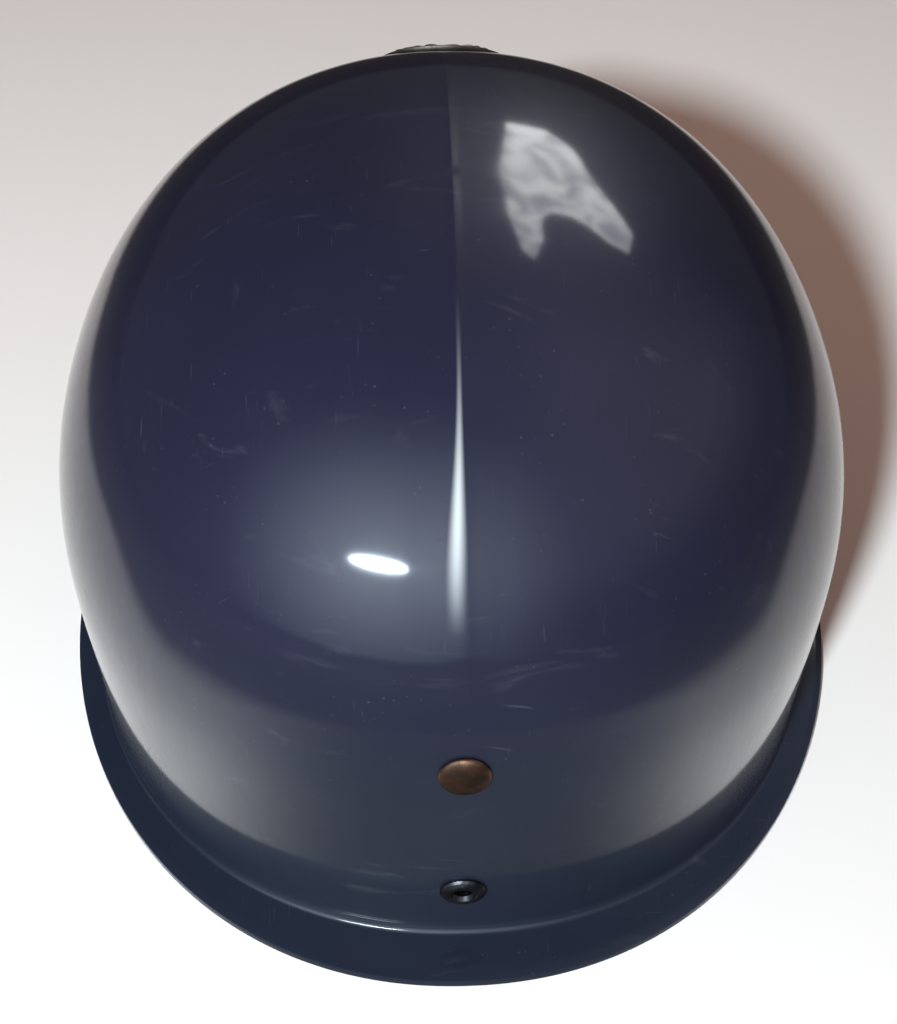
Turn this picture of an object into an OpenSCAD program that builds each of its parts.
// Riot helmet: a moulded shell with a flared brim, a webbing cradle, a leather
// headband and a buckled chin strap. The front is -Y and the wearer's left is +X.
// The brim rests on Z = 0, and the origin is under the middle of its outline.

/* [Shell] */
// Half of the shell's width at its widest level
half_width = 112; // [106:1:118]
// Reach of the shell behind its widest section
rear_reach = 118; // [112:1:124]
// Reach of the shell in front of its widest section
front_reach = 138; // [132:1:144]
// Height of the shell's widest level
widest_z = 62; // [58:1:66]
// Height of the dome above its widest level
dome_h = 108; // [104:1:114]
// Thickness of the moulded wall
wall = 3; // [2.4:0.1:3.6]
// How far the wall's foot lies inside its widest level
foot_draw = 1.1; // [0:0.1:2]
// Fullness of the dome's profile, where 2 is an ellipse
profile_n = 2.25; // [2.1:0.05:2.5]
// Fullness of every outline seen from above, where 2 is an ellipse
plan_n = 2.1; // [2:0.05:2.3]

/* [Brim and rib] */
// Reach of the brim past the shell at the sides
brim_side = 8; // [6:0.5:12]
// Reach of the brim past the shell at the front and the rear
brim_end = 14; // [10:0.5:18]
// Thickness of the brim
brim_t = 3; // [2.4:0.1:3.6]
// Height at which the wall begins to flare into the brim
flare_z = 7; // [6:0.5:9]
// Height of the crown rib
rib_h = 0.8; // [0.6:0.1:2]
// Half of the crown rib's width
rib_half = 11; // [9:0.5:14]
// Height at which the rib fades out at the rear
rib_rear_z = 100; // [90:1:120]
// Height at which the rib fades out at the front, above the badge
rib_front_z = 151; // [150:1:155]

/* [Fasteners] */
// Height of the two side rivets
side_rivet_z = 32; // [30:1:34]
// Distance of the side rivets behind the widest section
side_rivet_back = 20; // [16:1:22]
// Height of the front and rear rivets that carry the cradle
end_rivet_z = 81; // [80:1:84]
// Diameter of a rivet head
rivet_head_d = 13; // [11:0.5:14]
// Height of a domed rivet head
rivet_head_h = 2.2; // [1.6:0.1:3]
// Diameter of a rivet shank
rivet_shank_d = 4.8; // [4:0.1:5]
// Diameter of an inner washer
washer_d = 12; // [11:0.5:13]
// Thickness of an inner washer
washer_t = 1; // [0.8:0.1:1.2]
// Height of the rear eyelet
eyelet_z = 26; // [25:1:30]
// Diameter of the rear eyelet's flange
eyelet_d = 12.4; // [11:0.2:14]
// Bore of the rear eyelet
eyelet_bore = 5; // [4:0.1:5.4]

/* [Badge] */
// Height of the badge's middle above the widest level, as a share of the dome's height
badge_level = 0.593; // [0.575:0.005:0.605]
// Width of the oval badge
badge_w = 42; // [36:1:44]
// Length of the oval badge
badge_l = 56; // [50:1:57]
// Thickness of the badge plate
badge_t = 1.4; // [1:0.1:2]
// Distance of each fixing post from the middle of the badge
badge_post = 12; // [10:1:14]
// Number of leaves in the badge's wreath
badge_leaves = 26; // [20:2:28]

/* [Head space] */
// Half of the head's width
head_half_w = 79; // [76:1:80]
// Reach of the head behind its widest section
head_rear = 87; // [85:1:89]
// Reach of the head in front of its widest section
head_front = 115; // [112:1:117]
// Drop of the cradle's cross strap below the top of the dome
crown_gap = 36; // [34:1:40]
// Thickness of the foam crown liner
liner_t = 10; // [8:0.5:11]
// Height of the crown liner's rim above the widest level, as a share of the dome's height
liner_level = 0.49; // [0.475:0.005:0.515]

/* [Headband] */
// Height of the headband's lower edge
band_low = 46; // [45:1:48]
// Height of the leather sweatband
sweat_h = 30; // [28:1:32]
// Thickness of the leather sweatband
sweat_t = 2; // [1.6:0.1:2.4]
// Height of the carrier band
carrier_h = 24; // [22:1:25]
// Thickness of the carrier band
carrier_t = 1.4; // [1.2:0.1:1.8]
// Thickness of the brow pad
brow_t = 4; // [3:0.5:5]
// Width of the tabs and of the cradle straps
cradle_w = 20; // [18:1:22]
// Thickness of the cradle webbing
cradle_t = 1.6; // [1.2:0.1:1.8]
// Thickness of the leather tabs
tab_t = 1.8; // [1.4:0.1:2]

/* [Chin strap] */
// Height of the chin strap's pivots
pivot_z = 15; // [14:0.5:15.5]
// Distance of each swivelling end plate inside the shell's widest level
plate_inset = 15.5; // [14.5:0.5:16.5]
// Thickness of an end plate
plate_t = 1.4; // [1.2:0.1:1.8]
// Diameter of a pivot stud
stud_d = 4.8; // [4.4:0.1:5]
// Width of the chin strap
strap_w = 19; // [17:0.5:20]
// Thickness of the chin strap
strap_t = 2; // [1.6:0.1:2.2]
// Distance of the stowed chin strap behind the front of the shell's widest level
strap_inset = 23; // [21:1:28]
// Height of the stowed chin strap at the front
stow_z = 18.5; // [18:0.5:20]
// Height of the chin cup
cup_h = 34; // [30:1:35]
// Half of the chin cup's width
cup_half = 36; // [30:1:40]

/* [Hidden] */
$fn = 48;

// Clearances: between soft or curved faces, between stacked flat parts, and round a shank
gap = 0.3;
flat_gap = 0.1;
bore_gap = 0.1;

// The widest section lies where the brim's outline is centred on the origin
station_y = (front_reach - rear_reach) / 2;
brim_half = half_width + brim_side;
brim_half_l = (front_reach + rear_reach) / 2 + brim_end;
hole_r = rivet_shank_d / 2 + bore_gap;
badge_z = widest_z + badge_level * dome_h;
liner_low = widest_z + liner_level * dome_h;
cradle_z = widest_z + dome_h - crown_gap;
strap_reach = side_rivet_back + front_reach - strap_inset;

function spow(v, e) = sign(v) * pow(abs(v), e);
function unit(v) = v / norm(v);
function smooth(t) = let (k = min(1, max(0, t))) k * k * (3 - 2 * k);

// A point of an egg-shaped outline, with its own reach to the rear and to the front
function egg(th, a, rear, front) =
    [a * spow(cos(th), 2 / plan_n), (sin(th) >= 0 ? rear : front) * spow(sin(th), 2 / plan_n)];

// Share of the full outline that is left at a height, with the dome's height as h
function share(z, h) = z >= widest_z
    ? pow(max(0, 1 - pow((z - widest_z) / h, profile_n)), 1 / profile_n)
    : let (t = (widest_z - z) / (widest_z - flare_z))
        1 - foot_draw * t * t * (3 - 2 * t) / half_width;

// Crown rib: a low tent with a rounded crest, faded out at both ends
rib_crest = 2;
rib_fade_rear = 26;
rib_fade_front = 8;
function rib(x, y, z) = rib_h
    * max(0, 1 - (sqrt(x * x + rib_crest * rib_crest) - rib_crest) / rib_half)
    * (y > station_y ? smooth((z - rib_rear_z) / rib_fade_rear) : smooth((z - rib_front_z) / rib_fade_front));

// A point of the dome or wall at a depth below the outer surface
function skin_pt(th, z, depth) =
    let (s = share(z, dome_h - depth),
         p = egg(th, (half_width - depth) * s, (rear_reach - depth) * s, (front_reach - depth) * s))
    [p[0], p[1] + station_y, z];

// Outward normal of the outer surface at one of its points
function skin_normal(p) =
    let (x = p[0] / half_width, y = p[1] - station_y, b = y > 0 ? rear_reach : front_reach, v = y / b,
         dz = 0.01, s = share(p[2], dome_h), slope = (share(p[2] + dz, dome_h) - s) / dz)
    unit([spow(x, plan_n - 1) / half_width, spow(v, plan_n - 1) / b, -pow(s, plan_n - 1) * slope]);

// Points of the outer surface beside and behind or in front of the middle
function side_pt(side, back, z) =
    let (s = share(z, dome_h), b = (back > 0 ? rear_reach : front_reach) * s)
    [side * half_width * s * pow(1 - pow(abs(back) / b, plan_n), 1 / plan_n), station_y + back, z];
function end_pt(side, z) = [0, station_y + (side > 0 ? rear_reach : -front_reach) * share(z, dome_h), z];
function face_pt(x, z) =
    let (s = share(z, dome_h))
    [x, station_y - front_reach * s * pow(1 - pow(abs(x) / (half_width * s), plan_n), 1 / plan_n), z];

left_rivet = side_pt(1, side_rivet_back, side_rivet_z);
right_rivet = side_pt(-1, side_rivet_back, side_rivet_z);
front_rivet_pt = end_pt(-1, end_rivet_z);
rear_rivet_pt = end_pt(1, end_rivet_z);
eyelet_pt = end_pt(1, eyelet_z);
badge_pt = end_pt(-1, badge_z);

// Places children on the shell, with their Z along its outward normal
module on_skin(p) {
    n = skin_normal(p);
    translate(p) rotate([0, acos(n[2]), atan2(n[1], n[0])]) children();
}

// Layers under the shell's inner face, as depths below its outer face
layer = wall + gap;
curve_lift = 0.75;
bracket_t = 1.2;
bracket_depth = layer + curve_lift;
bracket_r = 7;
side_lean = let (n = skin_normal(left_rivet)) abs(n[1] / n[0]);
side_slack = 0.25 + bracket_r * side_lean;
side_strap_mid = bracket_depth + bracket_t + side_slack + cradle_t / 2;
side_washer = side_strap_mid + cradle_t / 2 + side_slack;
tab_mid = layer + curve_lift + tab_t / 2;
end_strap_mid = tab_mid + tab_t / 2 + flat_gap + cradle_t / 2;
end_washer = end_strap_mid + cradle_t / 2 + flat_gap;

// Columns of the shell's mesh, close together beside the rib, with none on the middle plane itself
quarter = [0.4, 1.3, 2.6, 4.2, 6, 8.5, 12, 16, 21, 27, 33, 39, 46, 53, 60, 67, 74, 82];
columns = concat([for (a = quarter) a - 90], [for (i = [len(quarter) : -1 : 0]) i == len(quarter) ? 0
    : 90 - quarter[i]], [for (a = quarter) a + 90], [for (i = [len(quarter) : -1 : 0])
    i == len(quarter) ? 180 : 270 - quarter[i]]);
dome_rows = [86, 81, 75, 69, 63, 57, 51, 45, 39, 33, 27, 21, 14, 7, 0];
wall_rows = [50, 38, 25];
flare_rows = [0, 22, 45, 68, 90];
flare_share = 0.15;
brim_top = brim_t + 0.6;
brim_round = 0.7;

function dome_z(a, h) = widest_z + h * pow(sin(a), 2 / profile_n);
function raised(p) =
    let (y = (p[1] - station_y) / (p[1] > station_y ? rear_reach : front_reach),
         z = max(0, p[2] - widest_z) / dome_h, v = unit([0, y, z + 0.001]))
    p + rib(p[0], p[1], p[2]) * v;
function outer_ring(z) = [for (a = columns) raised(skin_pt(a, z, 0))];
function inner_ring(z) = [for (a = columns) skin_pt(a, z, wall)];

// A ring of the flare or brim, a share k of the way from the wall to the brim's edge
function brim_ring(k, z, depth) = [for (a = columns)
    let (w = skin_pt(a, flare_z, depth), e = egg(a, brim_half, brim_half_l, brim_half_l))
    [w[0] + (e[0] - w[0]) * k, w[1] + (e[1] - w[1]) * k, z]];

function edge_rings() = [
    brim_ring(0.97, brim_t, 0), brim_ring(1, brim_t - brim_round, 0),
    brim_ring(1, brim_round, 0), brim_ring(0.97, 0, 0)];
function shell_rings() = concat(
    [for (a = dome_rows) outer_ring(dome_z(a, dome_h))],
    [for (z = wall_rows) outer_ring(z)],
    [for (a = flare_rows)
        brim_ring(flare_share * (1 - cos(a)), brim_top + (flare_z - brim_top) * (1 - sin(a)), 0)],
    edge_rings(),
    [for (i = [len(flare_rows) - 1 : -1 : 0]) let (a = flare_rows[i])
        brim_ring(flare_share * (1 - cos(a)), flare_z * (1 - sin(a)), wall)],
    [for (i = [len(wall_rows) - 1 : -1 : 0]) inner_ring(wall_rows[i])],
    [for (i = [len(dome_rows) - 1 : -1 : 0]) inner_ring(dome_z(dome_rows[i], dome_h - wall))]);

// A closed skin over a list of rings, with a pole at each end
module skin(rings, first_pole, last_pole) {
    n = len(rings[0]);
    m = len(rings);
    pts = concat([first_pole], [for (r = rings) for (p = r) p], [last_pole]);
    side = [for (j = [0 : m - 2]) for (i = [0 : n - 1])
        let (a = 1 + j * n + i, b = 1 + j * n + (i + 1) % n) each [[a, b, b + n], [a, b + n, a + n]]];
    top = [for (i = [0 : n - 1]) [0, 1 + (i + 1) % n, 1 + i]];
    bottom = [for (i = [0 : n - 1]) [m * n + 1, 1 + (m - 1) * n + i, 1 + (m - 1) * n + (i + 1) % n]];
    polyhedron(points = pts, faces = concat(top, side, bottom), convexity = 6);
}

module rivet_hole(p, r) {
    on_skin(p) cylinder(r = r, h = 4 * wall, center = true);
}

// Shell

module shell() {
    color([0.05, 0.06, 0.14]) difference() {
        skin(shell_rings(), [0, station_y, widest_z + dome_h + rib_h],
            [0, station_y, widest_z + dome_h - wall]);
        for (p = [left_rivet, right_rivet, front_rivet_pt, rear_rivet_pt]) rivet_hole(p, hole_r);
        rivet_hole(eyelet_pt, eyelet_barrel_r + bore_gap);
        badge_posts(post_r + bore_gap, 4 * wall);
    }
}

// Badge: a thin oval plate that follows the shell, a wreath of leaves and a boss

post_r = 1.6;
nut_r = 3.4;
nut_t = 2.6;
nut_seat = wall + 1.7;
badge_lean = norm([skin_normal(badge_pt)[0], skin_normal(badge_pt)[1]]);
leaf_r = 2.3;
leaf_inset = 0.7;
boss_r = 7;
patch_steps = 14;
patch_margin = 3;
patch_low = badge_z - badge_l / 2 - patch_margin;
patch_high = badge_z + badge_l / 2 - patch_margin / 2;

// Height of the surface at a distance up along the badge, found in a few steps
function level_on_badge(up, steps) = let (n = skin_normal(badge_pt),
    z = steps == 0 ? badge_z + up * badge_lean : level_on_badge(up, steps - 1))
    steps == 0 ? z : z + badge_lean * (up - (end_pt(-1, z) - badge_pt) * [0, n[2], -n[1]]);

module badge_posts(r, depth) {
    on_skin(badge_pt) for (s = [-1, 1]) translate([s * badge_post, 0, -depth / 2]) cylinder(r = r, h = depth);
}

// A patch of the front of the dome between two heights above the outer surface
module front_patch(low, high) {
    n = patch_steps;
    half = badge_w / 2 + patch_margin;
    function grid(off) = [for (j = [0 : n]) for (i = [0 : n])
        let (p = face_pt(-half + 2 * half * i / n, patch_low + (patch_high - patch_low) * j / n))
        p + off * skin_normal(p)];
    k = (n + 1) * (n + 1);
    function id(i, j) = j * (n + 1) + i;
    sheet = [for (j = [0 : n - 1]) for (i = [0 : n - 1])
        each [[id(i, j), id(i, j + 1), id(i + 1, j + 1)], [id(i, j), id(i + 1, j + 1), id(i + 1, j)]]];
    rim = concat([for (i = [0 : n]) id(i, 0)], [for (j = [1 : n]) id(n, j)],
        [for (i = [n - 1 : -1 : 0]) id(i, n)], [for (j = [n - 1 : -1 : 1]) id(0, j)]);
    m = len(rim);
    polyhedron(points = concat(grid(low), grid(high)), faces = concat(
        [for (f = sheet) [f[2], f[1], f[0]]], [for (f = sheet) [f[0] + k, f[1] + k, f[2] + k]],
        [for (i = [0 : m - 1])
            let (a = rim[i], b = rim[(i + 1) % m]) each [[a, b + k, b], [a, a + k, b + k]]]));
}

module oval(w, l) {
    polygon([for (a = [0 : 7.5 : 352.5]) [l / 2 * cos(a), w / 2 * sin(a)]]);
}

module badge() {
    wreath_w = badge_w - 2 * (leaf_r + leaf_inset);
    wreath_l = badge_l - 2 * (leaf_r + leaf_inset);
    color([0.35, 0.3, 0.22]) {
        intersection() {
            front_patch(gap, gap + badge_t);
            on_skin(badge_pt) linear_extrude(badge_l, center = true) oval(badge_w, badge_l);
        }
        intersection() {
            front_patch(gap + badge_t / 3, gap + badge_t + leaf_r);
            for (i = [0 : badge_leaves - 1]) {
                a = 360 * (i + 0.5) / badge_leaves;
                p = face_pt(wreath_w / 2 * sin(a), level_on_badge(wreath_l / 2 * cos(a), 3));
                translate(p + (gap + badge_t / 2) * skin_normal(p)) sphere(r = leaf_r, $fn = 24);
            }
        }
        on_skin(badge_pt) intersection() {
            translate([0, 0, gap + badge_t / 2]) cylinder(r = boss_r, h = 6);
            translate([0, 0, gap + badge_t + 3 - 10]) sphere(r = 10);
        }
        on_skin(badge_pt) for (s = [-1, 1]) translate([s * badge_post, 0, -nut_seat - nut_t - 1])
            cylinder(r = post_r, h = nut_seat + nut_t + 1 + badge_t / 2);
    }
}

module badge_nuts() {
    color([0.6, 0.5, 0.3]) on_skin(badge_pt) for (s = [-1, 1])
        translate([s * badge_post, 0, -nut_seat - nut_t]) difference() {
            cylinder(r = nut_r, h = nut_t, $fn = 6);
            translate([0, 0, -1]) cylinder(r = post_r + bore_gap, h = nut_t + 2);
        }
}

// Rivets: a domed head outside, a shank through the stack and a clinched tail

tail_r = 3.6;
tail_t = 1.2;

module rivet(washer_depth) {
    r = rivet_head_d / 2;
    ball = (r * r + rivet_head_h * rivet_head_h) / (2 * rivet_head_h);
    seat = 0.15;
    tail = washer_depth + washer_t + flat_gap;
    intersection() {
        translate([0, 0, seat]) cylinder(r = r, h = rivet_head_h);
        translate([0, 0, seat + rivet_head_h - ball]) sphere(r = ball, $fn = 96);
    }
    translate([0, 0, -tail - tail_t / 2]) cylinder(r = rivet_shank_d / 2, h = tail + tail_t / 2 + seat + 0.5);
    translate([0, 0, -tail - tail_t]) cylinder(r = tail_r, h = tail_t);
}

module side_rivet_left() { color([0.12, 0.12, 0.13]) on_skin(left_rivet) rivet(side_washer); }
module side_rivet_right() { color([0.12, 0.12, 0.13]) on_skin(right_rivet) rivet(side_washer); }
module front_rivet() { color([0.7, 0.5, 0.3]) on_skin(front_rivet_pt) rivet(end_washer); }
module rear_rivet() { color([0.7, 0.5, 0.3]) on_skin(rear_rivet_pt) rivet(end_washer); }

module washer(depth) {
    translate([0, 0, -depth - washer_t]) difference() {
        cylinder(r = washer_d / 2, h = washer_t);
        translate([0, 0, -1]) cylinder(r = hole_r, h = washer_t + 2);
    }
}

module rivet_washers() {
    color([0.6, 0.6, 0.62]) {
        for (p = [left_rivet, right_rivet]) on_skin(p) washer(side_washer);
        for (p = [front_rivet_pt, rear_rivet_pt]) on_skin(p) washer(end_washer);
    }
}

// Rear eyelet: a rounded flange outside, a barrel and a rolled end inside

eyelet_barrel_r = eyelet_bore / 2 + 1.2;
eyelet_flange_t = 1.8;
eyelet_roll = layer + washer_t + flat_gap;

module rear_eyelet() {
    bore = eyelet_bore / 2;
    flange = eyelet_d / 2;
    seat = 0.15;
    color([0.2, 0.2, 0.2]) on_skin(eyelet_pt) rotate_extrude() polygon([
        [bore, -eyelet_roll - 1], [bore + 0.5, -eyelet_roll - 1.3], [bore + 2.2, -eyelet_roll - 1],
        [bore + 2.4, -eyelet_roll], [eyelet_barrel_r, -eyelet_roll], [eyelet_barrel_r, seat], [flange, seat],
        [flange, seat + 0.5], [flange - 0.5, seat + 1.1], [flange - 1.4, seat + eyelet_flange_t - 0.2],
        [flange - 2.2, seat + eyelet_flange_t], [flange - 3, seat + eyelet_flange_t - 0.2],
        [bore, seat + 0.5]]);
}

module eyelet_washer() {
    color([0.6, 0.6, 0.62]) on_skin(eyelet_pt) translate([0, 0, -layer - washer_t]) difference() {
        cylinder(r = washer_d / 2, h = washer_t);
        translate([0, 0, -1]) cylinder(r = eyelet_barrel_r + bore_gap, h = washer_t + 2);
    }
}

// Chin strap anchors: a bracket under each side rivet and a pivot stud in its lower end

pivot_y = station_y + side_rivet_back;
plate_x = half_width - plate_inset;
bracket_drop = side_rivet_z - pivot_z;
collar_r = 4;
stud_head_r = 4.4;
stud_head_t = 1.4;
stud_inset = 0.3;
collar_inset = 0.15 + collar_r * side_lean;

// Distance from the middle plane to a depth under the left rivet, level with the pivot
function under_rivet_x(depth) =
    let (n = skin_normal(left_rivet)) left_rivet[0] - (depth + n[2] * (pivot_z - side_rivet_z)) / n[0];

module along_x(x0, x1, r) {
    translate([x0, pivot_y, pivot_z]) rotate([0, 90, 0]) cylinder(r = r, h = x1 - x0);
}

module bracket(p) {
    difference() {
        on_skin(p) translate([0, 0, -bracket_depth - bracket_t]) {
            cylinder(r = bracket_r, h = bracket_t);
            translate([0, -bracket_r, 0]) cube([bracket_drop, 2 * bracket_r, bracket_t]);
            translate([bracket_drop, 0, 0]) cylinder(r = bracket_r, h = bracket_t);
        }
        rivet_hole(p, hole_r);
        s = sign(p[0]);
        scale([s, 1, 1]) along_x(plate_x, half_width, stud_d / 2 + bore_gap / 2);
    }
}

module pivot_stud() {
    inner = plate_x - plate_t / 2 - flat_gap;
    outer = under_rivet_x(bracket_depth + stud_inset);
    color([0.6, 0.6, 0.62]) {
        along_x(inner - stud_head_t / 2, outer, stud_d / 2);
        along_x(inner - stud_head_t, inner, stud_head_r);
        along_x(plate_x + plate_t / 2 + flat_gap, under_rivet_x(bracket_depth + bracket_t + collar_inset),
            collar_r);
    }
}

module strap_bracket_left() { color([0.5, 0.5, 0.52]) bracket(left_rivet); }
module strap_bracket_right() { color([0.5, 0.5, 0.52]) bracket(right_rivet); }
module pivot_stud_left() { pivot_stud(); }
module pivot_stud_right() { mirror([1, 0, 0]) pivot_stud(); }

// Crown liner: a foam cap under the crown, with pockets round the badge nuts

liner_rows = [84, 75, 66, 57, 48, 39];
pocket_r = 5.5;
pocket_depth = nut_seat + nut_t + 1.6;

function liner_ring(z, depth) = [for (a = [0 : 7.5 : 352.5]) skin_pt(a, z, depth)];
function liner_zs(h) = [for (a = liner_rows) let (z = dome_z(a, h)) if (z > liner_low + 2) z];

module crown_liner() {
    outer = wall + gap;
    inner = outer + liner_t;
    rings = concat([for (z = liner_zs(dome_h - outer)) liner_ring(z, outer)],
        [liner_ring(liner_low, outer), liner_ring(liner_low, inner)],
        let (zs = liner_zs(dome_h - inner)) [for (i = [len(zs) - 1 : -1 : 0]) liner_ring(zs[i], inner)]);
    color([0.85, 0.85, 0.82]) difference() {
        skin(rings, [0, station_y, widest_z + dome_h - outer], [0, station_y, widest_z + dome_h - inner]);
        on_skin(badge_pt) for (s = [-1, 1]) translate([s * badge_post, 0, -pocket_depth])
            cylinder(r = pocket_r, h = pocket_depth + 2);
    }
}

// Webbing paths: lists of points that a ribbon of even thickness follows

function bez(a, b, c, d, n) = [for (i = [1 : n]) let (t = i / n, u = 1 - t)
    u * u * u * a + 3 * u * u * t * b + 3 * u * t * t * c + t * t * t * d];
function heading(path, i) = let (n = len(path) - 1) unit(path[min(n, i + 1)] - path[max(0, i - 1)]);
function beside(path, i, d) = let (h = heading(path, i)) path[i] + d * [-h[1], h[0]];

module ribbon(path, t) {
    n = len(path) - 1;
    polygon(concat([for (i = [0 : n]) beside(path, i, -t / 2)],
        [for (i = [n : -1 : 0]) beside(path, i, t / 2)]));
}

// Stands an outline of X and height upright and gives it a width along Y
module across(y, w) {
    translate([0, y + w / 2, 0]) rotate([90, 0, 0]) linear_extrude(w) children();
}

// Stands an outline of Y and height upright and gives it a width along X
module lengthwise(w) {
    translate([-w / 2, 0, 0]) rotate([90, 0, 90]) linear_extrude(w) children();
}

// A point under a rivet in its upright plane, at a depth and a distance up along the wall
function stack_pt(p, k, depth, up) =
    let (n = skin_normal(p), m = unit([n[k], n[2]]), t = m[0] > 0 ? [-m[1], m[0]] : [m[1], -m[0]])
    [p[k], p[2]] - depth * m + up * t;

cross_y = pivot_y;
tail_down = 7;
tail_up = 11;
carrier_out = head_half_w + sweat_t + gap + carrier_t;
band_station = head_front - (head_front + head_rear) / 2;
band_top = band_low + sweat_h;
arch = 0.65 * head_half_w;
side_gap = 1.2;
curve_steps = 10;

// Half of the cross strap, from the left rivet up to the crown
function cross_half() =
    let (a = stack_pt(left_rivet, 0, side_strap_mid, -tail_down),
         b = stack_pt(left_rivet, 0, side_strap_mid, tail_up),
         x = carrier_out + side_gap + cradle_t / 2, c = [x, band_low + 12], d = [x, band_low + 26],
         top = [0, cradle_z])
    concat([a, b], bez(b, b + [0, 8], c - [0, 9], c, curve_steps), [d],
        bez(d, d + [0, 0.55 * (cradle_z - d[1])], top + [arch, 0], top, 16));

// The long strap, from the front rivet over the crown to the rear rivet
long_z = cradle_z + cradle_t + gap + 0.6;
liner_in = wall + gap + liner_t;
function liner_edge(s) =
    station_y + s * ((s > 0 ? rear_reach : front_reach) - liner_in) * share(liner_low, dome_h - liner_in);
function long_half(p, mid) =
    let (a = stack_pt(p, 1, end_strap_mid, -tail_down), b = stack_pt(p, 1, end_strap_mid, tail_up),
         s = sign(p[1]), t = unit(b - a), rise = unit([-s, 0.9]), top = [mid, long_z],
         m = [liner_edge(s) - s * 4, liner_low])
    concat([a, b], bez(b, b + 8 * t, m - 9 * rise, m, curve_steps),
        bez(m, m + arch / 2 * rise, top + [s * arch, 0], top, 16));

module cradle_cross_strap() {
    half = cross_half();
    n = len(half) - 1;
    color([0.75, 0.72, 0.6]) difference() {
        across(cross_y, cradle_w) ribbon(concat(half, [for (i = [n - 1 : -1 : 0]) [-half[i][0], half[i][1]]]),
            cradle_t);
        for (p = [left_rivet, right_rivet]) on_skin(p) translate([0, 0, -side_strap_mid])
            cylinder(r = hole_r + gap, h = 3 * cradle_t, center = true);
    }
}

module cradle_long_strap() {
    front = long_half(front_rivet_pt, cross_y);
    rear = long_half(rear_rivet_pt, cross_y);
    color([0.75, 0.72, 0.6]) difference() {
        lengthwise(cradle_w) ribbon(concat(front, [for (i = [len(rear) - 2 : -1 : 0]) rear[i]]), cradle_t);
        for (p = [front_rivet_pt, rear_rivet_pt]) on_skin(p) translate([0, 0, -end_strap_mid])
            cylinder(r = hole_r + gap, h = 3 * cradle_t, center = true);
    }
}

pad_r = 26;
pad_t = 7;
pad_edge = 2.5;

module crown_pad() {
    color([0.2, 0.18, 0.15]) translate([0, cross_y, long_z + cradle_t / 2 + gap + 0.2]) {
        cylinder(r = pad_r, h = pad_t - pad_edge);
        translate([0, 0, pad_t - pad_edge]) cylinder(r1 = pad_r, r2 = pad_r - pad_edge, h = pad_edge);
    }
}

// Headband: egg-shaped bands one outside another, hung from the rivets by tabs

function band_outline(d) = [for (a = [0 : 4 : 356])
    egg(a, head_half_w + d, head_rear + d, head_front + d) + [0, band_station]];

module band(inner, t, low, h) {
    translate([0, 0, low]) linear_extrude(h) difference() {
        polygon(band_outline(inner + t));
        polygon(band_outline(inner));
    }
}

carrier_in = sweat_t + gap;
tab_face = carrier_in + carrier_t + gap;

module sweatband() { color([0.45, 0.28, 0.15]) band(0, sweat_t, band_low, sweat_h); }
module carrier_band() {
    color([0.15, 0.15, 0.16]) band(carrier_in, carrier_t, band_low + (sweat_h - carrier_h) / 2, carrier_h);
}

brow_spread = 47;
module brow_pad() {
    reach = 2 * head_front;
    color([0.3, 0.3, 0.3]) intersection() {
        band(-gap - brow_t, brow_t, band_low + 3, sweat_h - 6);
        translate([0, band_station, band_low]) linear_extrude(sweat_h)
            polygon([[0, 0], [reach * sin(brow_spread), -reach * cos(brow_spread)], [0, -2 * reach],
                [-reach * sin(brow_spread), -reach * cos(brow_spread)]]);
    }
}

function tab_path(p, face) =
    let (a = stack_pt(p, 1, tab_mid, tail_down), b = stack_pt(p, 1, tab_mid, -tail_down),
         s = sign(p[1]), t = unit(b - a), y = s * face, c = [y, band_top - 8], d = [y, band_low + 5])
    concat([a, b], bez(b, b + 7 * t, c + [0, 8], c, curve_steps), [d]);

module tab(p, face) {
    difference() {
        lengthwise(cradle_w) ribbon(tab_path(p, face), tab_t);
        on_skin(p) translate([0, 0, -tab_mid]) cylinder(r = hole_r + gap, h = 2 * tab_t, center = true);
    }
}

adjust_t = 1.6;
front_face = head_front - band_station + tab_face + tab_t / 2;
rear_face = head_rear + band_station + tab_face + adjust_t + gap + tab_t / 2;
module front_tab() { color([0.4, 0.25, 0.14]) tab(front_rivet_pt, front_face); }
module rear_tab() { color([0.4, 0.25, 0.14]) tab(rear_rivet_pt, rear_face); }

// Size adjuster: a strap round the back of the band on a true arc, and a metal slide on it

adjust_h = 14;
adjust_low = band_low + 8;
adjust_r = 96;
adjust_spread = 32;
slide_rest = 19;
slide_wire = 1.2;
slide_w = 12;
adjust_y = head_rear + band_station + tab_face - adjust_r;

module arc_sector(r, t, low, h, a0, a1) {
    translate([0, adjust_y, low]) linear_extrude(h) polygon(concat(
        [for (i = [24 : -1 : 0]) let (a = a0 + (a1 - a0) * i / 24) (r + t) * [sin(a), cos(a)]],
        [for (i = [0 : 24]) let (a = a0 + (a1 - a0) * i / 24) r * [sin(a), cos(a)]]));
}

module adjuster_strap() {
    color([0.4, 0.25, 0.14])
        arc_sector(adjust_r, adjust_t, adjust_low, adjust_h, -adjust_spread, adjust_spread);
}

module adjuster_slide() {
    half = asin(slide_w / 2 / adjust_r);
    low = adjust_low - gap - slide_wire;
    h = adjust_h + 2 * (gap + slide_wire);
    a0 = -slide_rest - half;
    a1 = -slide_rest + half;
    color([0.65, 0.65, 0.66]) difference() {
        arc_sector(adjust_r, adjust_t + gap + slide_wire, low, h, a0, a1);
        arc_sector(adjust_r - 1, adjust_t + gap + 1, adjust_low - gap, adjust_h + 2 * gap, a0 - 1, a1 + 1);
    }
}

// Chin strap: everything below swings about the line through the two pivot studs

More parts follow.
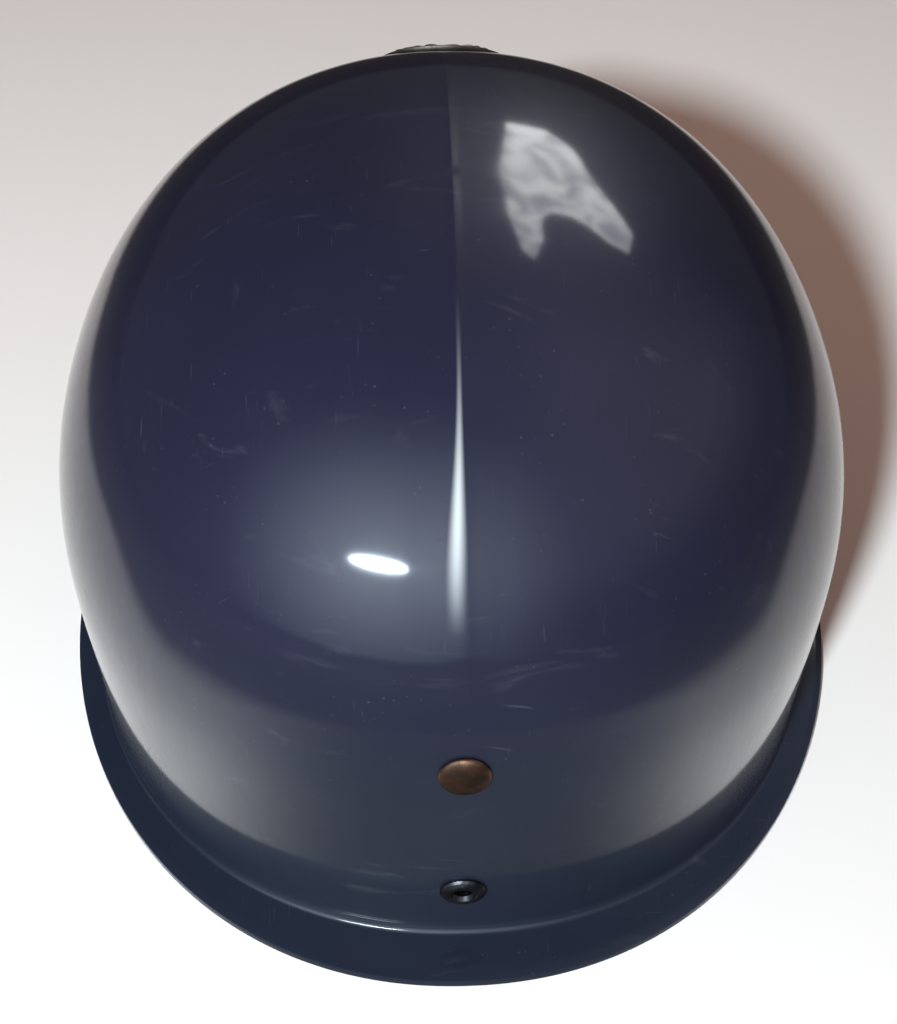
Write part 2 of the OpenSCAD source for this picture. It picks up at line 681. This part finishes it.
chin_tilt = -asin((stow_z - pivot_z) / strap_reach);
slot_s = 17;
plate_bar = 2.4;
loop_gap = 0.3;
wrap_t = 1.2;
bow_reach = 30;
bow_flat = 36;
bow_steps = 16;
short_drop = strap_t + 0.2;
eye_r = stud_d / 2 + 0.15;
plate_r = 8.5;
loop_r = plate_t / 2 + loop_gap + wrap_t;
loop_proud = 0.1;
body_out = loop_r - loop_proud - strap_t / 2;
plate_rim = 2;
near = plate_bar / 2 + loop_r + gap;
bend_l = near + plate_rim / 2;
bend_y = bend_l - slot_s;

// The chin strap's own frame: X across, -Y forward from the pivots, Z across the strap
module chin() {
    translate([0, pivot_y, pivot_z]) rotate([chin_tilt, 0, 0]) children();
}

// The left straight run: X out from the long strap, -Y along it, starting at the end plate
run_a = 19;
run_len = 70;
run_x = plate_x - bend_l * sin(run_a) + (body_out + short_drop) * cos(run_a);
run_y = bend_y - bend_l * cos(run_a) - (body_out + short_drop) * sin(run_a);
run_end = [run_x - run_len * sin(run_a), run_y - run_len * cos(run_a)];
module left_run() {
    chin() translate([run_x, run_y, 0]) rotate([0, 0, -run_a]) children();
}
function run_pt(n, u) = [run_x, run_y] + n * [cos(run_a), -sin(run_a)] + u * [-sin(run_a), -cos(run_a)];

// The right straight run starts beside the right end plate and meets the bow's far end
to_end = [plate_x - run_end[0], bend_y - run_end[1]];
right_a = atan2(to_end[0], to_end[1]) + asin(body_out / norm(to_end));
right_start = [-plate_x + bend_l * sin(right_a) - body_out * cos(right_a),
    bend_y - bend_l * cos(right_a) - body_out * sin(right_a)];

bow_half = bez(run_end, run_end + bow_reach * [-sin(run_a), -cos(run_a)],
    [bow_flat, -strap_reach], [0, -strap_reach], bow_steps);
bow = concat(bow_half, [for (i = [bow_steps - 2 : -1 : 0]) [-bow_half[i][0], bow_half[i][1]]]);

tail_u = 9;
module chin_strap_long() {
    path = concat([run_pt(0, tail_u), run_pt(0, run_len)], bow, [[-run_end[0], run_end[1]], right_start]);
    color([0.16, 0.15, 0.15]) chin() difference() {
        linear_extrude(strap_w, center = true) {
            ribbon(path, strap_t);
            at_bar(-1, right_a) stadium(plate_bar, loop_r);
        }
        at_bar(-1, right_a) plate_slot();
    }
}

// A stadium-shaped turn of strap round the end bar of a plate, with room for the bar
module stadium(l, r) {
    square([2 * r, l], center = true);
    for (s = [-1, 1]) translate([0, s * l / 2]) circle(r = r);
}
module plate_slot() {
    linear_extrude(2 * strap_w, center = true) stadium(plate_bar, plate_t / 2 + loop_gap);
}

// The middle of a plate's end bar, in line with the plate's bent end
module at_bar(side, a) {
    translate([side * plate_x, bend_y]) rotate(-side * a) translate([0, -bend_l]) children();
}

// End plate: an eye on the pivot stud and a slotted end that the strap turns round
module end_plate(side) {
    half = strap_w / 2 + 1 + plate_rim;
    color([0.6, 0.6, 0.62]) chin() difference() {
        union() {
            translate([side * plate_x - plate_t / 2, 0, 0]) rotate([0, 90, 0])
                cylinder(r = plate_r, h = plate_t);
            translate([side * plate_x - plate_t / 2, bend_y, -plate_r]) cube([plate_t, -bend_y, 2 * plate_r]);
            at_bar(side, side > 0 ? run_a : right_a) {
                translate([-plate_t / 2, near, -half]) cube([plate_t, plate_rim, 2 * half]);
                for (z = [-half, half - plate_rim])
                    translate([-plate_t / 2, -plate_bar / 2, z]) cube([plate_t, near + plate_bar, plate_rim]);
                translate([-plate_t / 2, -plate_bar / 2, -half]) cube([plate_t, plate_bar, 2 * half]);
            }
        }
        translate([side * plate_x - plate_t, 0, 0]) rotate([0, 90, 0]) cylinder(r = eye_r, h = 2 * plate_t);
    }
}
module end_plate_left() { end_plate(1); }
module end_plate_right() { end_plate(-1); }

// Buckle frame: a base under the strap, two ears, and a bar that holds the short strap
bar_u = 31;
bar_r = 1.1;
bar_gap = 0.15;
base_u0 = 36;
base_u1 = 52;
base_t = 1;
base_n = -strap_t / 2 - gap - base_t;
ear_in = strap_w / 2 + 0.5;
ear_t = 1.2;
ear_r = 2.5;
pin_u = 42;
pin_n = 4;
pin_r = 1.1;
short_n = -short_drop;
short_top = short_n + strap_t / 2;
bar_wrap = bar_r + bar_gap + wrap_t;
bar_n = short_top - bar_wrap;

module chin_strap_short() {
    color([0.16, 0.15, 0.15]) left_run() difference() {
        linear_extrude(strap_w, center = true) {
            translate([-body_out - short_drop, 0]) stadium(plate_bar, loop_r);
            translate([bar_n, -bar_u]) circle(r = bar_wrap);
            translate([short_n - strap_t / 2, -bar_u]) square([strap_t, bar_u]);
        }
        translate([-body_out - short_drop, 0, 0]) plate_slot();
        translate([bar_n, -bar_u, 0]) cylinder(r = bar_r + bar_gap, h = 2 * strap_w, center = true);
    }
}

module buckle_frame() {
    half = ear_in + ear_t;
    color([0.6, 0.6, 0.62]) left_run() difference() {
        union() {
            translate([base_n, -base_u1, -half]) cube([base_t, base_u1 - base_u0, 2 * half]);
            for (s = [-1, 1]) translate([0, 0, s * (ear_in + ear_t / 2) - ear_t / 2]) {
                translate([base_n, -pin_u - ear_r, 0]) cube([pin_n - base_n, 2 * ear_r, ear_t]);
                translate([pin_n, -pin_u, 0]) cylinder(r = ear_r, h = ear_t);
                translate([bar_n - bar_r, -base_u0 - 1, 0])
                    cube([base_n + base_t - bar_n + bar_r, base_u0 + 1 - bar_u, ear_t]);
                translate([bar_n, -bar_u, 0]) cylinder(r = bar_r, h = ear_t);
            }
            translate([bar_n, -bar_u, 0]) cylinder(r = bar_r, h = 2 * half, center = true);
        }
        translate([pin_n, -pin_u, 0]) cylinder(r = pin_r + bore_gap / 2, h = 4 * half, center = true);
    }
}

module buckle_pin() {
    color([0.7, 0.7, 0.72]) left_run() translate([pin_n, -pin_u, 0]) {
        cylinder(r = pin_r, h = 2 * (ear_in + ear_t) + 0.6, center = true);
        for (s = [-1, 1]) translate([0, 0, s * (ear_in + ear_t + 0.5)])
            cylinder(r = 1.8, h = 0.8, center = true);
    }
}

lever_len = 9;
lever_t = 1.6;
cam_r = 2.1;
module buckle_lever() {
    w = 2 * ear_in - 1;
    nose = pin_n - strap_t / 2 - gap;
    color([0.6, 0.6, 0.62]) left_run() translate([pin_n, -pin_u, 0]) difference() {
        linear_extrude(w, center = true) {
            circle(r = cam_r);
            translate([-nose + 0.6, -0.6]) square([nose - 0.6, 1.2]);
            translate([-nose + 0.6, 0]) circle(r = 0.6, $fn = 24);
            translate([-0.2, -lever_len]) square([lever_t, lever_len]);
        }
        cylinder(r = pin_r + bore_gap, h = 2 * w, center = true);
    }
}

keeper_u = 22;
keeper_w = 7;
keeper_t = 1.2;
module strap_keeper() {
    in0 = short_n - strap_t / 2 - gap;
    in1 = strap_t / 2 + gap;
    half = strap_w / 2 + gap;
    color([0.14, 0.13, 0.13]) left_run() translate([0, -keeper_u, 0]) difference() {
        translate([in0 - keeper_t, -keeper_w / 2, -half - keeper_t])
            cube([in1 - in0 + 2 * keeper_t, keeper_w, 2 * (half + keeper_t)]);
        translate([in0, -keeper_w, -half]) cube([in1 - in0, 2 * keeper_w, 2 * half]);
    }
}

tip_l = 6;
module strap_tip() {
    half = strap_w / 2;
    color([0.65, 0.65, 0.66]) left_run() translate([-strap_t / 2, flat_gap - tail_u, -half])
        cube([strap_t, tip_l, 2 * half]);
}

// Chin cup: a leather cup on the inner side of the strap's front
cup_t = 2.4;
cup_from = 8;
module chin_cup() {
    d = strap_t / 2 + gap + cup_t / 2;
    n = len(bow) - 1;
    path = [for (i = [cup_from : n - cup_from]) beside(bow, i, d)];
    round_r = cup_h * 0.3;
    color([0.2, 0.15, 0.12]) chin() intersection() {
        linear_extrude(cup_h, center = true) ribbon(path, cup_t);
        translate([0, -slot_s, 0]) rotate([90, 0, 0]) linear_extrude(strap_reach) {
            square([2 * (cup_half - round_r), cup_h], center = true);
            square([2 * cup_half, cup_h - 2 * round_r], center = true);
            for (s = [-1, 1], v = [-1, 1]) translate([s * (cup_half - round_r), v * (cup_h / 2 - round_r)])
                circle(r = round_r);
        }
    }
}

shell();
badge();
badge_nuts();
side_rivet_left();
side_rivet_right();
front_rivet();
rear_rivet();
rivet_washers();
rear_eyelet();
eyelet_washer();
strap_bracket_left();
strap_bracket_right();
pivot_stud_left();
pivot_stud_right();
crown_liner();
crown_pad();
cradle_cross_strap();
cradle_long_strap();
carrier_band();
sweatband();
brow_pad();
front_tab();
rear_tab();
adjuster_strap();
adjuster_slide();
end_plate_left();
end_plate_right();
chin_strap_short();
chin_strap_long();
strap_tip();
chin_cup();
buckle_frame();
buckle_pin();
buckle_lever();
strap_keeper();
